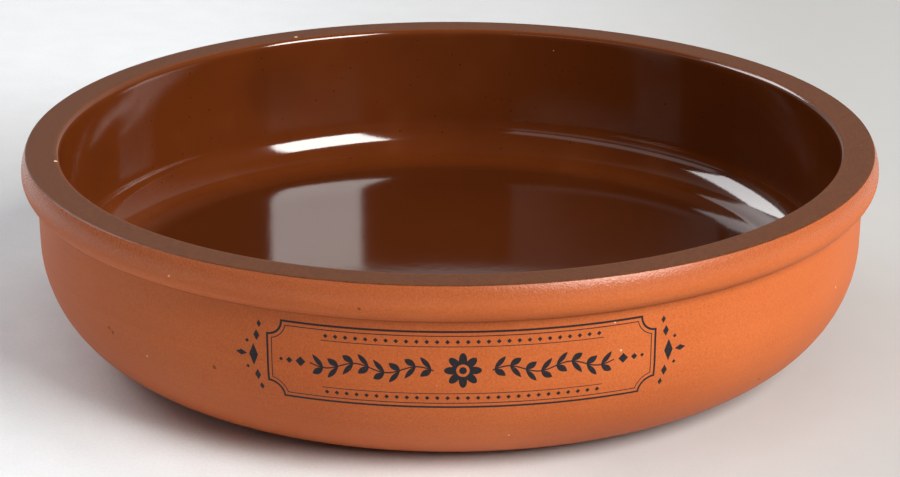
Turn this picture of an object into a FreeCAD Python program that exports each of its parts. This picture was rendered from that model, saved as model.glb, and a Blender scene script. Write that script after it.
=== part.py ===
import FreeCAD, Part
import math
import os

# Terracotta serving dish: one turned piece of fired clay with a rolled band round its rim.
# Millimetres, +Z up. The origin is the middle of the circle that the dish stands on.

# Overall size
band_radius = 150.0
dish_height = 71.0

# Rolled band: fullest a little under the rim, gentle above that line and tight below it
fullest_depth = 7.0
upper_roll_radius = 14.5
lower_roll_radius = 6.2

# Body: a wall that leans in a little, a large turn, and a straight run down to the foot
wall_top_radius = 144.9
wall_lean = 1.2
turn_start_depth = 31.7
turn_radius = 40.4
turn_end_angle = 70.0

# Foot: a flat ring to stand on, and a recess inside it that keeps the floor from being too thick
foot_ring_width = 14.0
recess_depth = 7.0
recess_slope_width = 4.0

# Cavity: a steep wall with a soft lip, a cove and a flat floor
cavity_radius = 136.6
cavity_lean = 0.8
cavity_depth = 50.5
cove_radius = 14.0
lip_radius = 2.0


def at(radius, height):
    """A point of the half section, from its distance to the axis and its height."""
    return FreeCAD.Vector(radius, 0.0, height)


def toward(degrees):
    """The unit vector of the half section at an angle above the outward direction."""
    angle = math.radians(degrees)
    return at(math.cos(angle), math.sin(angle))


def line(start, end):
    """A straight edge of the section."""
    return Part.LineSegment(start, end).toShape()


def arc(centre, radius, from_degrees, to_degrees):
    """A round edge of the section between two directions from its centre."""
    start = centre + toward(from_degrees) * radius
    middle = centre + toward((from_degrees + to_degrees) / 2.0) * radius
    end = centre + toward(to_degrees) * radius
    return Part.Arc(start, middle, end).toShape()


def first_point(edge):
    """Where an edge starts, in the direction that it was drawn."""
    return edge.valueAt(edge.FirstParameter)


def last_point(edge):
    """Where an edge ends, in the direction that it was drawn."""
    return edge.valueAt(edge.LastParameter)


def on_slope(normal, offset, height):
    """The point of a slope at a height, from the slope's normal and its offset along it."""
    return at((offset - height * normal.z) / normal.x, height)


def band():
    """The band's roll, from the crisp edge of the rim to the crease against the wall."""
    roll_height = dish_height - fullest_depth
    upper_centre = at(band_radius - upper_roll_radius, roll_height)
    rim_angle = math.degrees(math.asin(fullest_depth / upper_roll_radius))

    lower_centre = at(band_radius - lower_roll_radius, roll_height)
    wall_normal = toward(-wall_lean)
    wall_distance = (at(wall_top_radius, roll_height) - lower_centre).dot(wall_normal)
    crease_angle = wall_lean + math.degrees(math.acos(wall_distance / lower_roll_radius))
    return [
        arc(upper_centre, upper_roll_radius, rim_angle, 0.0),
        arc(lower_centre, lower_roll_radius, 0.0, -crease_angle),
    ]


def body(crease):
    """The leaning wall from the crease, the large turn under it and the run to the foot."""
    wall_normal = toward(-wall_lean)
    turn_start = on_slope(wall_normal, crease.dot(wall_normal), dish_height - turn_start_depth)
    turn = arc(turn_start - wall_normal * turn_radius, turn_radius, -wall_lean, -turn_end_angle)

    run_start = last_point(turn)
    run_normal = toward(-turn_end_angle)
    foot_edge = on_slope(run_normal, run_start.dot(run_normal), 0.0)
    return [line(crease, turn_start), turn, line(run_start, foot_edge)]


def underside(foot_edge):
    """The ring that the dish stands on and the recess inside it, in to the axis."""
    ring_inner = at(foot_edge.x - foot_ring_width, 0.0)
    recess_edge = at(ring_inner.x - recess_slope_width, recess_depth)
    return [
        line(foot_edge, ring_inner),
        line(ring_inner, recess_edge),
        line(recess_edge, at(0.0, recess_depth)),
    ]


def cavity():
    """The flat floor, the cove, the steep wall and the soft lip, out from the axis."""
    floor_height = dish_height - cavity_depth
    wall_normal = toward(-cavity_lean)
    wall_offset = at(cavity_radius, dish_height).dot(wall_normal)

    cove_centre = on_slope(wall_normal, wall_offset - cove_radius, floor_height + cove_radius)
    lip_centre = on_slope(wall_normal, wall_offset + lip_radius, dish_height - lip_radius)
    cove = arc(cove_centre, cove_radius, -90.0, -cavity_lean)
    lip = arc(lip_centre, lip_radius, 180.0 - cavity_lean, 90.0)
    return [
        line(at(0.0, floor_height), first_point(cove)),
        cove,
        line(last_point(cove), first_point(lip)),
        lip,
    ]


def serving_dish():
    """The half section of the dish, closed along the axis and turned round it."""
    outside = band()
    outside += body(last_point(outside[-1]))
    outside += underside(last_point(outside[-1]))
    inside = cavity()

    axis = line(last_point(outside[-1]), first_point(inside[0]))
    rim = line(last_point(inside[-1]), first_point(outside[0]))
    section = Part.Face(Part.Wire(outside + [axis] + inside + [rim]))
    return section.revolve(at(0.0, 0.0), FreeCAD.Vector(0.0, 0.0, 1.0), 360.0)


os.makedirs("parts", exist_ok=True)
serving_dish().exportStep("parts/serving_dish.step")
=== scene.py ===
import cmath
import math

import bpy
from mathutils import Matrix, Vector


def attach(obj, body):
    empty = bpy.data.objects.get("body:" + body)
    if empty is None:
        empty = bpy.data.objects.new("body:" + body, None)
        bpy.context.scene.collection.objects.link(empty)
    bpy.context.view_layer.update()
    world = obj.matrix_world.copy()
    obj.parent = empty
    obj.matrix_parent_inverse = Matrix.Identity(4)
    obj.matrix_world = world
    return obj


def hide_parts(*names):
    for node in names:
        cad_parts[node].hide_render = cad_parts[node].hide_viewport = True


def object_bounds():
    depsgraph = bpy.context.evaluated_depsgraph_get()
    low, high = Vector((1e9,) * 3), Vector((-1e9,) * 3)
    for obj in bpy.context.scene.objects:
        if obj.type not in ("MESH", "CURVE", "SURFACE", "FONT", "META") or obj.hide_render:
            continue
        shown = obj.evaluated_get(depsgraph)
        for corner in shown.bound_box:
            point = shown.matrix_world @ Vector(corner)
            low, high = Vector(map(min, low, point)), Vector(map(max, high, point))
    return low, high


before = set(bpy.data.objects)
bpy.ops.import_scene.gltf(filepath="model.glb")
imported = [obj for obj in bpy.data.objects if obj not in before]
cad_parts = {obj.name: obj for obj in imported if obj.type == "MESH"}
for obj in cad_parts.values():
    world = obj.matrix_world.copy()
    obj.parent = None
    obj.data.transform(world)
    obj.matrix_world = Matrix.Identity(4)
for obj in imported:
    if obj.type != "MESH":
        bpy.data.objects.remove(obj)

cad_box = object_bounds()


# Camera: a long lens a metre in front of the dish, looking down into it at about twenty degrees.
# The picture is level and uncropped, so it has neither roll nor shift.

camera_distance = 1.0
camera_height = 0.3945
camera_pitch = 19.893
lens_length = 119.4

camera_data = bpy.data.cameras.new("camera")
camera_data.lens = lens_length
camera_data.sensor_width = 36.0
camera = bpy.data.objects.new("camera", camera_data)
camera.location = (0.0, -camera_distance, camera_height)
camera.rotation_euler = (math.radians(90.0 - camera_pitch), 0.0, 0.0)
bpy.context.collection.objects.link(camera)

scene = bpy.context.scene
scene.camera = camera
scene.view_settings.view_transform = "Standard"


# Serving dish: one piece of terracotta, thrown or pressed round on a wheel and fired.
# A band is rolled over its rim, the wall turns under in one large sweep to a foot ring,
# and the cavity has a steep wall, a cove and a flat floor. Lengths in millimetres.

band_radius = round(1000.0 * cad_box[1].x, 1)
dish_height = round(1000.0 * cad_box[1].z, 1)
fullest_depth = 7.0
upper_roll = 14.5
lower_roll = 6.2
arris_radius = 0.7
crease_radius = 0.8

wall_top_radius = 144.9
wall_lean = 1.2
turn_start_depth = 31.7
turn_radius = 40.4
turn_end = 70.0

foot_ring_width = 14.0
foot_rounding = 1.6
recess_depth = 7.0
recess_slope_width = 4.0
recess_rounding = 1.0

cavity_radius = 136.6
cavity_lean = 0.8
cavity_depth = 50.5
cove_radius = 14.0
lip_radius = 2.0


def toward(degrees):
    """The unit step in the section at an angle above the outward direction."""
    return cmath.rect(1.0, math.radians(degrees))


def along(point, normal):
    """How far a point of the section lies along a normal."""
    return point.real * normal.real + point.imag * normal.imag


def on_slope(normal, offset, height):
    """The point of a slope at a height, from its normal and its offset."""
    return complex((offset - height * normal.imag) / normal.real, height)


def arc(centre, radius, start, end, steps):
    """Points of a round stretch, from one direction to another."""
    turns = [start + (end - start) * step / steps for step in range(steps + 1)]
    return [centre + radius * toward(turn) for turn in turns]


def straight(start, end, steps):
    """Points between two ends, without the ends."""
    return [start + (end - start) * step / steps for step in range(1, steps)]


floor_height = dish_height - cavity_depth
cavity_normal = toward(-cavity_lean)
cavity_offset = along(complex(cavity_radius, dish_height), cavity_normal)
cove_centre = on_slope(cavity_normal, cavity_offset - cove_radius, floor_height + cove_radius)
lip_centre = on_slope(cavity_normal, cavity_offset + lip_radius, dish_height - lip_radius)
cove = arc(cove_centre, cove_radius, -90.0, -cavity_lean, steps=22)
lip = arc(lip_centre, lip_radius, 180.0 - cavity_lean, 90.0, steps=8)

roll_height = dish_height - fullest_depth
upper_centre = complex(band_radius - upper_roll, roll_height)
lower_centre = complex(band_radius - lower_roll, roll_height)
arris_offset = upper_roll - arris_radius
arris_turn = math.degrees(math.asin((fullest_depth - arris_radius) / arris_offset))
arris_centre = upper_centre + arris_offset * toward(arris_turn)
wall_normal = toward(-wall_lean)
wall_offset = along(complex(wall_top_radius, roll_height), wall_normal)
crease_offset = lower_roll + crease_radius
crease_reach = wall_offset + crease_radius - along(lower_centre, wall_normal)
crease_turn = wall_lean + math.degrees(math.acos(crease_reach / crease_offset))
crease_centre = lower_centre + crease_offset * toward(-crease_turn)
arris = arc(arris_centre, arris_radius, 90.0, arris_turn, steps=7)
upper = arc(upper_centre, upper_roll, arris_turn, 0.0, steps=12)[1:]
lower = arc(lower_centre, lower_roll, 0.0, -crease_turn, steps=12)[1:]
crease = arc(crease_centre, crease_radius, 180.0 - crease_turn, 180.0 - wall_lean, steps=8)[1:]

turn_top = on_slope(wall_normal, wall_offset, dish_height - turn_start_depth)
turn = arc(turn_top - turn_radius * wall_normal, turn_radius, -wall_lean, -turn_end, steps=36)
run_normal = toward(-turn_end)
run_offset = along(turn[-1], run_normal)
foot_centre = on_slope(run_normal, run_offset - foot_rounding, foot_rounding)
foot = arc(foot_centre, foot_rounding, -turn_end, -90.0, steps=4)

ring_inner = on_slope(run_normal, run_offset, 0.0) - foot_ring_width
across_slope = complex(recess_depth, recess_slope_width)
slope_normal = -across_slope / abs(across_slope)
slope_offset = along(ring_inner, slope_normal)
slope_turn = math.degrees(cmath.phase(slope_normal))
ring_centre = on_slope(slope_normal, slope_offset - recess_rounding, recess_rounding)
rounding_top = recess_depth - recess_rounding
recess_centre = on_slope(slope_normal, slope_offset + recess_rounding, rounding_top)
ring = arc(ring_centre, recess_rounding, -90.0, slope_turn, steps=5)
recess = arc(recess_centre, recess_rounding, slope_turn + 180.0, 90.0, steps=5)

recess_middle = complex(0.0, recess_depth)
section = [complex(0.0, floor_height)]
section += straight(section[-1], cove[0], steps=44) + cove
section += straight(section[-1], lip[0], steps=24) + lip
section += straight(section[-1], arris[0], steps=8) + arris
section += upper + lower + crease
section += straight(section[-1], turn[0], steps=14) + turn
section += straight(section[-1], foot[0], steps=3) + foot
section += straight(section[-1], ring[0], steps=5) + ring + recess
section += straight(section[-1], recess_middle, steps=24) + [recess_middle]

section_mesh = bpy.data.meshes.new("dish_section")
section_points = [(point.real / 1000.0, 0.0, point.imag / 1000.0) for point in section]
section_edges = [(index, index + 1) for index in range(len(section) - 1)]
section_mesh.from_pydata(section_points, section_edges, [])


class Wire:
    """An output of a node tree. Arithmetic on it adds Math nodes, and node() any other node."""

    def __init__(self, socket):
        self.socket = socket
        self.tree = socket.id_data

    def node(self, kind, settings, inputs, output=0):
        """One output of a new node, from its settings and its sockets' values or links."""
        made = self.tree.nodes.new(kind)
        for name, value in settings.items():
            setattr(made, name, value)
        for key, value in inputs.items():
            if isinstance(value, Wire):
                self.tree.links.new(value.socket, made.inputs[key])
            else:
                made.inputs[key].default_value = value
        return Wire(made.outputs[output])

    def math(self, operation, *values):
        """A Math node's result."""
        return self.node("ShaderNodeMath", {"operation": operation}, dict(enumerate(values)))

    def __add__(self, other):
        return self.math("ADD", self, other)

    def __sub__(self, other):
        return self.math("SUBTRACT", self, other)

    def __rsub__(self, other):
        return self.math("SUBTRACT", other, self)

    def __mul__(self, other):
        return self.math("MULTIPLY", self, other)

    def __truediv__(self, other):
        return self.math("DIVIDE", self, other)

    def __rtruediv__(self, other):
        return self.math("DIVIDE", other, self)

    def __mod__(self, other):
        return self.math("FLOORED_MODULO", self, other)

    def __abs__(self):
        return self.math("ABSOLUTE", self)

    def __lt__(self, other):
        return self.math("LESS_THAN", self, other)

    __radd__ = __add__
    __rmul__ = __mul__


# The section is turned round the axis: a grid with one column for each step round takes
# the section's points row by row, and merging closes the seam and the two poles. A slow
# wave draws the surface in by a fraction of a millimetre, as hands leave it on the wheel.

turning = bpy.data.node_groups.new("turning", "GeometryNodeTree")
turning.interface.new_socket("Geometry", in_out="OUTPUT", socket_type="NodeSocketGeometry")
turning_sizes = {
    "Section": ("NodeSocketGeometry", None),
    "Steps Round": ("NodeSocketInt", 320),
    "Wave Depth": ("NodeSocketFloat", 0.00016),
    "Wave Length": ("NodeSocketFloat", 0.09),
    "Merge Distance": ("NodeSocketFloat", 0.00001),
    "Finish": ("NodeSocketMaterial", None),
}
turning_sockets = {}
for name, (kind, _) in turning_sizes.items():
    turning_sockets[name] = turning.interface.new_socket(name, in_out="INPUT", socket_type=kind)

group_input = turning.nodes.new("NodeGroupInput")
given = {name: Wire(group_input.outputs[name]) for name in turning_sizes}
start = given["Section"]

rows = start.node("GeometryNodeAttributeDomainSize", {"component": "MESH"}, {0: start})
grid_sizes = {"Vertices X": given["Steps Round"] + 1, "Vertices Y": rows}
grid = start.node("GeometryNodeMeshGrid", {}, grid_sizes)
index = start.node("GeometryNodeInputIndex", {}, {})
turns_done = index / rows
column = turns_done.math("FLOOR", turns_done)
position = start.node("GeometryNodeInputPosition", {}, {})
sampling = {"data_type": "FLOAT_VECTOR", "domain": "POINT"}
section_point = start.node("GeometryNodeSampleIndex", sampling, {0: start, 1: position, 2: index % rows})
radius = section_point.node("ShaderNodeSeparateXYZ", {}, {0: section_point}, 0)
height = section_point.node("ShaderNodeSeparateXYZ", {}, {0: section_point}, 2)
angle = column * math.tau / given["Steps Round"]
across = angle.math("SINE", angle)
toward_back = angle.math("COSINE", angle)


def turned_point(reach_out):
    """A point at a distance to the axis, in its column's direction and at its row's height."""
    steps = {0: reach_out * across, 1: reach_out * toward_back, 2: height}
    return start.node("ShaderNodeCombineXYZ", {}, steps)


wave_inputs = {"Vector": turned_point(radius), "Scale": 1 / given["Wave Length"], "Detail": 1.0}
wave = start.node("ShaderNodeTexNoise", {}, wave_inputs)
drawn_in = radius - given["Wave Depth"] * wave * radius / (band_radius / 1000.0)

shaping = {"Geometry": grid, "Position": turned_point(drawn_in)}
shaped = start.node("GeometryNodeSetPosition", {}, shaping)
closing = {"Geometry": shaped, "Distance": given["Merge Distance"]}
closed = start.node("GeometryNodeMergeByDistance", {}, closing)
smooth = start.node("GeometryNodeSetShadeSmooth", {}, {"Geometry": closed, "Shade Smooth": True})
real = start.node("GeometryNodeRealizeInstances", {}, {"Geometry": smooth})
finishing = {"Geometry": real, "Material": given["Finish"]}
finished = start.node("GeometryNodeSetMaterial", {}, finishing)
group_output = turning.nodes.new("NodeGroupOutput")
turning.links.new(finished.socket, group_output.inputs[0])


# Finish: bare fired clay outside and a brown glaze inside and over the flat of the rim.
# The clay is matt and finely grained, with a satin skin on the band's upper roll. The glaze
# is glossy in the cavity and satin on the rim, with a highlight painted over the lip. Colours are
# linear.

pale_clay = (0.555, 0.143, 0.038, 1.0)
deep_clay = (0.362, 0.0705, 0.0125, 1.0)
roll_shade_colour = (0.31, 0.075, 0.024, 1.0)
crease_shade_colour = (0.19, 0.046, 0.014, 1.0)
glaze_colour = (0.094, 0.0192, 0.0034, 1.0)
deep_glaze = (0.046, 0.0095, 0.002, 1.0)
thin_glaze_and_lip_highlight = (0.21, 0.062, 0.02, 1.0)
pale_rim = (0.124, 0.037, 0.010, 1.0)
deep_rim = (0.070, 0.019, 0.005, 1.0)
grit_colour = (0.85, 0.55, 0.33, 1.0)
pit_colour = (0.16, 0.035, 0.012, 1.0)

finish = bpy.data.materials.new("glazed_terracotta")
finish.use_nodes = True
finish.node_tree.nodes.clear()
place = Wire(finish.node_tree.nodes.new("ShaderNodeTexCoord").outputs["Object"])
east = place.node("ShaderNodeSeparateXYZ", {}, {0: place}, 0) * 1000.0
north = place.node("ShaderNodeSeparateXYZ", {}, {0: place}, 1) * 1000.0
level = place.node("ShaderNodeSeparateXYZ", {}, {0: place}, 2) * 1000.0
reach = place.math("SQRT", east * east + north * north)
bearing = place.math("ARCTAN2", east, 0 - north)


def ramp(value, low, high):
    """0 below one value and 1 above the other, smooth between them."""
    settings = {"interpolation_type": "SMOOTHSTEP"}
    return value.node("ShaderNodeMapRange", settings, {0: value, 1: low, 2: high})


def noise(scale, detail, where=place):
    """Cloudy noise about 0.5, with its scale in waves to the metre."""
    return where.node("ShaderNodeTexNoise", {}, {"Vector": where, "Scale": scale, "Detail": detail})


def specks(scale, radius, share):
    """Round specks of a radius in cells of a Voronoi pattern, in a share of the cells."""
    cells = {"Vector": place, "Scale": scale}
    near = place.node("ShaderNodeTexVoronoi", {}, cells, "Distance")
    lot = place.node("ShaderNodeTexVoronoi", {}, cells, "Color")
    chosen = lot.node("ShaderNodeSeparateColor", {}, {0: lot}, 0) < share
    return (1 - ramp(near, radius * 0.6, radius)) * chosen


def blend(mask, first, second):
    """The first colour where the mask is 0 and the second where it is 1."""
    settings = {"data_type": "RGBA"}
    return mask.node("ShaderNodeMix", settings, {0: mask, 6: first, 7: second}, 2)


def both(first, second):
    """The lesser of two masks or distances."""
    return first.math("MINIMUM", first, second)


def either(first, second):
    """The greater of two masks or distances."""
    return first.math("MAXIMUM", first, second)


def spot(across, away, up, size):
    """A mask round one point of the dish, in millimetres."""
    beside = east - across
    beyond = north - away
    above = level - up
    from_middle = place.math("SQRT", beside * beside + beyond * beyond + above * above)
    return 1 - ramp(from_middle + (noise(900.0, 2.0) - 0.5) * size, size * 0.6, size)


# The glaze covers the cavity as far as the lip, and the flat of the rim, where its edge
# wanders a little. The outside is bare, also where it is no lower than the cavity's floor.

lip_middle = cavity_radius + 0.8
rim_edge = dish_height - 0.38
outside_reach = 120.0
edge_wander = (noise(260.0, 2.0) - 0.5) * 0.2 + (noise(1500.0, 2.0) - 0.5) * 0.25
over_outside = level - either(reach - outside_reach, 0.0) * 0.15
inside = ramp(over_outside, floor_height - 1.1, floor_height - 0.7)
inside = both(inside, 1 - ramp(reach, lip_middle, lip_middle + 0.2))
rim_flat = ramp(level + edge_wander, rim_edge, rim_edge + 0.12)
glazed = either(inside, rim_flat)
in_cavity = both(inside, 1 - rim_flat)

# The clay: cloudy, grained and faintly lined round, with painted shade over the band's upper roll
# and a painted shade line in the crease, with fine grit and pits, and a few chips and nicks. Each
# of those has its place east, north and up, and its size.

broad = noise(14.0, 2.0)
grain = noise(1500.0, 3.0)
fine_grain = noise(4200.0, 2.0)
stretch = {"operation": "MULTIPLY"}
stretched_place = place.node("ShaderNodeVectorMath", stretch, {0: place, 1: (6.0, 6.0, 420.0)})
turning_lines = noise(1.0, 3.0, stretched_place)

clay_shade = (broad - 0.5) * 0.3 + (grain - 0.5) * 0.48 + (turning_lines - 0.5) * 0.12
clay = blend(ramp(clay_shade, -0.3, 0.3), deep_clay, pale_clay)
# Painted shade: the band's upper roll is darkened towards its top, where it faces up.
painted_roll_shade = ramp(level + (grain - 0.5) * 2.0, roll_height - 2.5, dish_height - 0.5)
clay = blend(painted_roll_shade * 0.7, clay, roll_shade_colour)
# Painted shade: a thin dark line along the crease under the band.
crease_level = 57.7
painted_crease_shade = 1 - ramp(abs(level - crease_level), 0.2, 0.7)
clay = blend(painted_crease_shade * 0.5, clay, crease_shade_colour)
pale_grit = specks(230.0, 0.06, 0.1)
dark_pits = specks(190.0, 0.06, 0.12)
clay = blend(pale_grit * 0.35, clay, grit_colour)
clay = blend(dark_pits * 0.5, clay, pit_colour)

chips = [
    (-98.1, -104.1, 29.8, 0.5),
    (-88.4, -121.0, 63.9, 0.5),
    (129.5, -63.5, 38.3, 0.6),
    (51.4, -135.1, 53.9, 0.4),
    (53.5, -134.0, 44.0, 0.45),
    (18.6, -134.4, 15.2, 0.45),
]
nicks = [
    (-111.6, -91.0, 34.4, 0.7),
    (-110.4, -92.3, 33.4, 0.75),
    (-27.9, -147.1, 62.9, 0.6),
    (-74.9, -122.8, 33.7, 0.8),
    (101.8, -91.2, 16.4, 0.7),
]
chipped = spot(*chips[0])
for chip in chips[1:]:
    chipped = either(chipped, spot(*chip))
nicked = spot(*nicks[0])
for nick in nicks[1:]:
    nicked = either(nicked, spot(*nick))
clay = blend(chipped * 0.7, clay, grit_colour)
clay = blend(nicked * 0.75, clay, pit_colour)

# The printed panel on the front: a double line with bitten corners, a rosette between two
# sprigs, rows of lozenges over and under them, and lozenges beyond its ends. It is a
# transfer in blue-black ink, fired on, a little thin in places.

ink_colour = (0.014, 0.013, 0.016, 1.0)
print_bearing = math.radians(1.6)
print_level = 41.3
print_reach = 144.4
panel_half_width = 62.8
panel_half_height = 13.0
corner_bite = 5.0
outer_line = 0.36
inner_line = 0.16
line_gap = 1.45
line_edge = 0.07

sideways = (bearing - print_bearing) * print_reach
upward = level - print_level
aside = abs(sideways)
apart = abs(upward)


def length(first, second):
    """The distance from two steps at right angles."""
    return first.math("SQRT", first * first + second * second)


def stroke(distance, half_width):
    """A line where a distance is near 0."""
    return 1 - ramp(abs(distance), half_width - line_edge, half_width + line_edge)


def filled(distance):
    """A shape where a distance is under 0."""
    return 1 - ramp(distance, -line_edge, line_edge)


def lozenge(across, up, half_width, half_height):
    """A diamond about a point, from its two half diagonals."""
    reach_across = abs(aside - across) / half_width
    reach_up = abs(apart - up) / half_height
    return filled((reach_across + reach_up - 1) * min(half_width, half_height))


over_side = aside - panel_half_width
over_top = apart - panel_half_height
panel = either(either(over_side, over_top), corner_bite - length(over_side, over_top))
ink = either(stroke(panel, outer_line), stroke(panel + line_gap, inner_line))

petal_root = 3.3
petal_swell = 2.6
rosette_hole = 2.0
rosette_eye = 1.2
rosette_reach = length(sideways, upward)
petals = abs(sideways.math("COSINE", sideways.math("ARCTAN2", upward, sideways) * 4.0))
rosette = filled(rosette_reach - petals * petal_swell - petal_root)
rosette = both(rosette, ramp(rosette_reach, rosette_hole, rosette_hole + 0.15))
ink = either(ink, either(rosette, filled(rosette_reach - rosette_eye)))

sprig_start = 9.2
sprig_end = 48.4
stem_sway = 1.2
stem_width = 0.24
leaf_spacing = 4.9
leaf_turn = math.radians(42.0)
leaf_middle = 2.5
leaf_half_length = 2.4
leaf_half_width = 0.95
along_sprig = aside - sprig_start
sway_turn = math.tau / (4.0 * leaf_spacing)
from_stem = upward - sideways.math("SINE", along_sprig * sway_turn) * stem_sway
on_sprig = both(ramp(along_sprig, -0.1, 0.0), 1 - ramp(aside, sprig_end, sprig_end + 0.1))
leaf_step = along_sprig % leaf_spacing - 0.5
leaf_along = leaf_step * math.cos(leaf_turn) + abs(from_stem) * math.sin(leaf_turn)
leaf_across = abs(from_stem) * math.cos(leaf_turn) - leaf_step * math.sin(leaf_turn)
leaf_swell = (leaf_along - leaf_middle) / leaf_half_length
leaf = filled(abs(leaf_across) - (1 - leaf_swell * leaf_swell) * leaf_half_width)
ink = either(ink, both(on_sprig, either(leaf, stroke(from_stem, stem_width))))

row_spacing = 3.2
row_up = 9.6
row_size = 0.78
row_end = 44.7
rule_up = 8.0
rule_width = 0.13
row_step = abs(aside % row_spacing - row_spacing / 2.0)
row = filled((row_step + abs(apart - row_up) - row_size) * 0.7)
rule = stroke(apart - rule_up, rule_width)
ink = either(ink, both(1 - ramp(aside, row_end, row_end + 0.1), either(row, rule)))

# The single lozenges: how far along and up, and their two half diagonals.

for diamond in [
    (51.6, 0.0, 1.7, 1.7),
    (55.4, 0.0, 1.1, 1.1),
    (58.2, 0.0, 0.7, 0.7),
    (67.8, 0.0, 1.6, 3.8),
    (72.2, 0.0, 2.1, 1.0),
    (66.6, 6.8, 1.1, 1.9),
    (65.6, 10.8, 0.8, 1.3),
    (70.0, 4.4, 0.7, 0.7),
]:
    ink = either(ink, lozenge(*diamond))

on_wall = both(ramp(level, 22.0, 23.0), 1 - ramp(level, 56.6, 56.8))
on_outside = ramp(reach, 138.0, 139.0)
ink_worn = ramp(noise(1800.0, 2.0), 0.6, 0.8) * 0.25
inked = both(ink, both(on_wall, on_outside)) * (1 - ink_worn)
clay = blend(inked, clay, ink_colour)

# The glaze: brown with fine dark flecks and a few pale bubbles, darker on the floor inside the
# cove, with a highlight painted over the lip, and with two small chips at the rim's inner edge.

glaze_shade = noise(30.0, 3.0) - 0.5
lip_highlight = both(ramp(level, 67.6, 70.4), 1 - ramp(reach, lip_middle, lip_middle + 1.8))
flecks = specks(300.0, 0.14, 0.3)
bubbles = specks(75.0, 0.025, 0.15)
glaze = blend(ramp(glaze_shade, 0.0, 0.4) * 0.3, glaze_colour, thin_glaze_and_lip_highlight)
# The glaze is darker on the floor inside the cove, fading out from 112 to 124 mm off the axis.
darker_floor = both(1 - ramp(reach, 112.0, 124.0), inside) * 0.8
glaze = blend(either(ramp(0 - glaze_shade, 0.0, 0.4) * 0.5, darker_floor), glaze, deep_glaze)
glaze = blend(rim_flat, glaze, blend(ramp(grain, 0.3, 0.7), deep_rim, pale_rim))
glaze = blend(flecks * 0.8, glaze, deep_glaze)
# Painted highlight: the glaze is made paler over the inner lip.
glaze = blend(lip_highlight * 0.2, glaze, thin_glaze_and_lip_highlight)
glaze = blend(both(bubbles, inside) * 0.5, glaze, grit_colour)
rim_chips = either(spot(-135.2, -27.8, dish_height, 0.9), spot(-60.3, 125.9, dish_height, 0.8))
glaze = blend(rim_chips, glaze, grit_colour)

base_colour = blend(glazed, clay, glaze)
clay_roughness = (grain - 0.5) * 0.3 + 0.52 - inked * 0.08
satin_roughness = (grain - 0.5) * 0.2 + 0.36 - (1 - rim_flat) * 0.09
glaze_roughness = (noise(90.0, 2.0) - 0.5) * 0.03 + 0.085

# Relief, in metres: the clay's grain, deeper on the upper roll, the rim's finer grain, and
# the glaze's slow and quick ripples, with a little of the clay's grain on the wall.

upper_roll_mask = ramp(level, roll_height - 1.5, dish_height - 1.5)
clay_relief = grain * (upper_roll_mask * 0.00004 + 0.00008) + fine_grain * 0.00002
clay_relief = clay_relief - nicked * 0.0003 - chipped * 0.0001
rim_relief = grain * 0.00005
wall_relief = ramp(level, 21.0, 25.0) * grain * 0.000008
glaze_relief = noise(110.0, 2.0) * 0.00002 + noise(420.0, 2.0) * 0.000006
glaze_relief = glaze_relief + grain * 0.0000008 + wall_relief
relief = (1 - glazed) * clay_relief + rim_flat * rim_relief + in_cavity * glaze_relief
bump = place.node("ShaderNodeBump", {}, {"Strength": 1.0, "Distance": 1.0, "Height": relief})


def surface(roughness, index_of_refraction, specular):
    """A surface of the finish's colour and relief."""
    return place.node("ShaderNodeBsdfPrincipled", {}, {
        "Base Color": base_colour,
        "Roughness": roughness,
        "IOR": index_of_refraction,
        "Specular IOR Level": specular,
        "Normal": bump,
    })


bare = surface(clay_roughness, 1.5, 0.17)
satin = surface(satin_roughness, 1.5, 0.5)
glossy = surface(glaze_roughness, 1.75, 0.5)
satin_share = upper_roll_mask * (1 - rim_flat * 0.7)
dull = place.node("ShaderNodeMixShader", {}, {0: satin_share, 1: bare, 2: satin})
whole = place.node("ShaderNodeMixShader", {}, {0: in_cavity, 1: dull, 2: glossy})
output = finish.node_tree.nodes.new("ShaderNodeOutputMaterial")
finish.node_tree.links.new(whole.socket, output.inputs["Surface"])

turned = bpy.data.objects.new("turned_section", section_mesh)
bpy.context.collection.objects.link(turned)
modifier = turned.modifiers.new("turning", "NODES")
modifier.node_group = turning
turning_sizes["Finish"] = ("NodeSocketMaterial", finish)
for name, (_, value) in turning_sizes.items():
    if value is not None:
        modifier[turning_sockets[name].identifier] = value

evaluated = turned.evaluated_get(bpy.context.evaluated_depsgraph_get())
dish_mesh = bpy.data.meshes.new_from_object(evaluated)
dish = bpy.data.objects.new("dish", dish_mesh)
bpy.context.collection.objects.link(dish)
bpy.data.objects.remove(turned)
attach(dish, "root")
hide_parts("serving_dish")


# Table: a pale, faintly mottled sheet of paper that runs on behind the dish. Its colour holds painted
# light and shade: palest by the dish's left front, as painted light over the dish's shadow, paler at
# the left than just behind the dish, and greyer at the right. Its places are in metres.

floor_size = 4.0
floor_colour = (0.61, 0.62, 0.63, 1.0)
floor_left_painted_light = (0.745, 0.77, 0.79, 1.0)
floor_right_painted_shade = (0.455, 0.455, 0.445, 1.0)
floor_near_painted_light = (0.90, 0.93, 0.94, 1.0)
fibre_colour = (0.4, 0.39, 0.38, 1.0)

floor_mesh = bpy.data.meshes.new("table")
floor_corners = [(-floor_size, -floor_size, 0.0), (floor_size, -floor_size, 0.0)]
floor_corners += [(floor_size, floor_size, 0.0), (-floor_size, floor_size, 0.0)]
floor_mesh.from_pydata(floor_corners, [], [(0, 1, 2, 3)])
floor = bpy.data.objects.new("table", floor_mesh)
bpy.context.collection.objects.link(floor)

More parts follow.
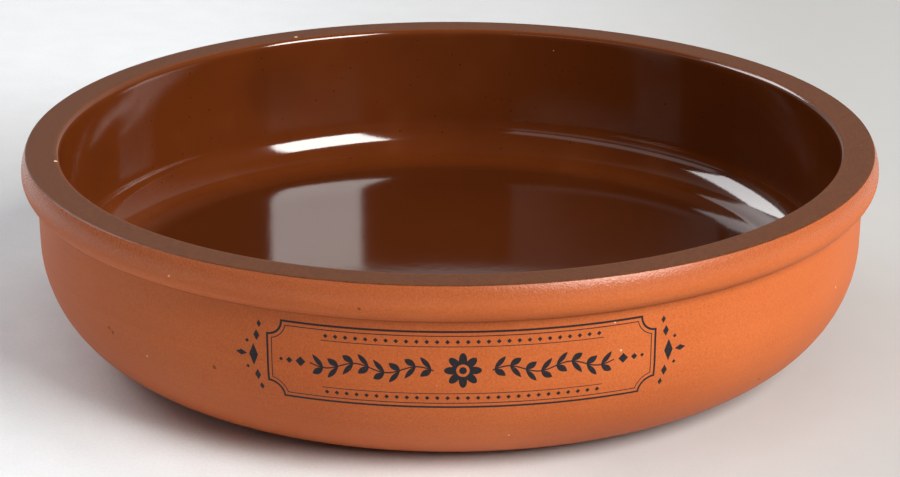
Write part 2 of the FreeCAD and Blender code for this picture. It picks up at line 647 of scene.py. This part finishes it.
paper = bpy.data.materials.new("pale_sheet")
paper.use_nodes = True
paper.node_tree.nodes.clear()
paper_place = Wire(paper.node_tree.nodes.new("ShaderNodeTexCoord").outputs["Object"])
paper_east = paper_place.node("ShaderNodeSeparateXYZ", {}, {0: paper_place}, 0)
paper_north = paper_place.node("ShaderNodeSeparateXYZ", {}, {0: paper_place}, 1)
paper_reach = paper_place.math("SQRT", paper_east * paper_east + paper_north * paper_north)
just_behind = both(ramp(paper_north, 0.1, 0.18), 1 - ramp(paper_north, 0.2, 0.35))
to_the_left = (1 - ramp(paper_east, -0.15, 0.02)) * (1 - just_behind)
to_the_right = ramp(paper_east, 0.0, 0.18)
left_front = both(1 - ramp(paper_east, -0.02, 0.06), 1 - ramp(paper_north, -0.04, 0.04))
by_the_dish = 1 - ramp(paper_reach, 0.135, 0.17)
# Painted light and shade: the sheet is made paler at the left and by the dish's left front, and greyer
# at the right.
sheet = blend(to_the_left, floor_colour, floor_left_painted_light)
sheet = blend(to_the_right, sheet, floor_right_painted_shade)
sheet = blend(both(left_front, by_the_dish), sheet, floor_near_painted_light)
mottle = noise(60.0, 4.0, paper_place)
fibres = noise(900.0, 3.0, paper_place)
sheet = blend(ramp(mottle * 0.4 + fibres * 0.6, 0.3, 0.7) * 0.16, sheet, fibre_colour)
paper_finish = {"Base Color": sheet, "Roughness": 0.6}
paper_surface = paper_place.node("ShaderNodeBsdfPrincipled", {}, paper_finish)
paper_output = paper.node_tree.nodes.new("ShaderNodeOutputMaterial")
paper.node_tree.links.new(paper_surface.socket, paper_output.inputs["Surface"])
floor_mesh.materials.append(paper)


# Light: a large soft box at the right and in front, a wider, flatter one at the left and
# behind, two dim cards at the left front, one over the other, and a weak sky that is paler
# behind the dish. Two fills, over it and at its right, light it and aren't mirrored by it.

lamp_distance = 2.5


def soft_box(name, azimuth, elevation, wide, high, aim, radiance, colour):
    """An area lamp, from the direction and the two angles at which a point sees it."""
    level_reach = math.cos(math.radians(elevation))
    step = Vector((
        level_reach * math.sin(math.radians(azimuth)),
        -level_reach * math.cos(math.radians(azimuth)),
        math.sin(math.radians(elevation)),
    ))
    lamp = bpy.data.lights.new(name, "AREA")
    lamp.shape = "RECTANGLE"
    lamp.size = 2.0 * lamp_distance * math.tan(math.radians(wide / 2.0))
    lamp.size_y = 2.0 * lamp_distance * math.tan(math.radians(high / 2.0))
    lamp.energy = math.pi * lamp.size * lamp.size_y * radiance
    lamp.color = colour
    holder = bpy.data.objects.new(name, lamp)
    holder.location = Vector(aim) + step * lamp_distance
    holder.rotation_euler = step.to_track_quat("Z", "Y").to_euler()
    bpy.context.collection.objects.link(holder)
    return holder


warm_light = (1.0, 0.985, 0.96)
card_light = (1.0, 0.97, 1.0)
soft_box("right_soft_box", 44.0, 33.9, 28.48, 30.2, (-0.05, 0.125, 0.04), 13.4, warm_light)
soft_box("left_soft_box", -120.5, 32.5, 38.51, 18.2, (0.115, 0.05, 0.04), 5.5, (0.98, 0.98, 1.0))
soft_box("left_high_card", -57.0, 27.2, 67.66, 9.6, (0.05, 0.125, 0.04), 0.6, card_light)
soft_box("left_low_card", -57.0, 15.0, 72.1, 6.0, (0.05, 0.125, 0.04), 0.3, card_light)
top = soft_box("top_fill", 0.0, 88.0, 40.0, 40.0, (0.0, 0.0, 0.0), 1.8, (1.0, 1.0, 1.0))
side = soft_box("right_side_fill", 80.0, 30.0, 26.13, 30.0, (0.0, 0.0, 0.04), 7.0, warm_light)
top.visible_glossy = False
side.visible_glossy = False

world = bpy.data.worlds.new("studio")
world.use_nodes = True
world.node_tree.nodes.clear()
sky_place = Wire(world.node_tree.nodes.new("ShaderNodeTexCoord").outputs["Generated"])
behind = sky_place.node("ShaderNodeSeparateXYZ", {}, {0: sky_place}, 1)
dark_sky = (0.01, 0.01, 0.01, 1.0)
pale_sky = (0.40, 0.39, 0.385, 1.0)
sky = blend(ramp(behind, 0.0, 0.9), dark_sky, pale_sky)
background = sky_place.node("ShaderNodeBackground", {}, {"Color": sky, "Strength": 1.0})
world_output = world.node_tree.nodes.new("ShaderNodeOutputWorld")
world.node_tree.links.new(background.socket, world_output.inputs["Surface"])
scene.world = world
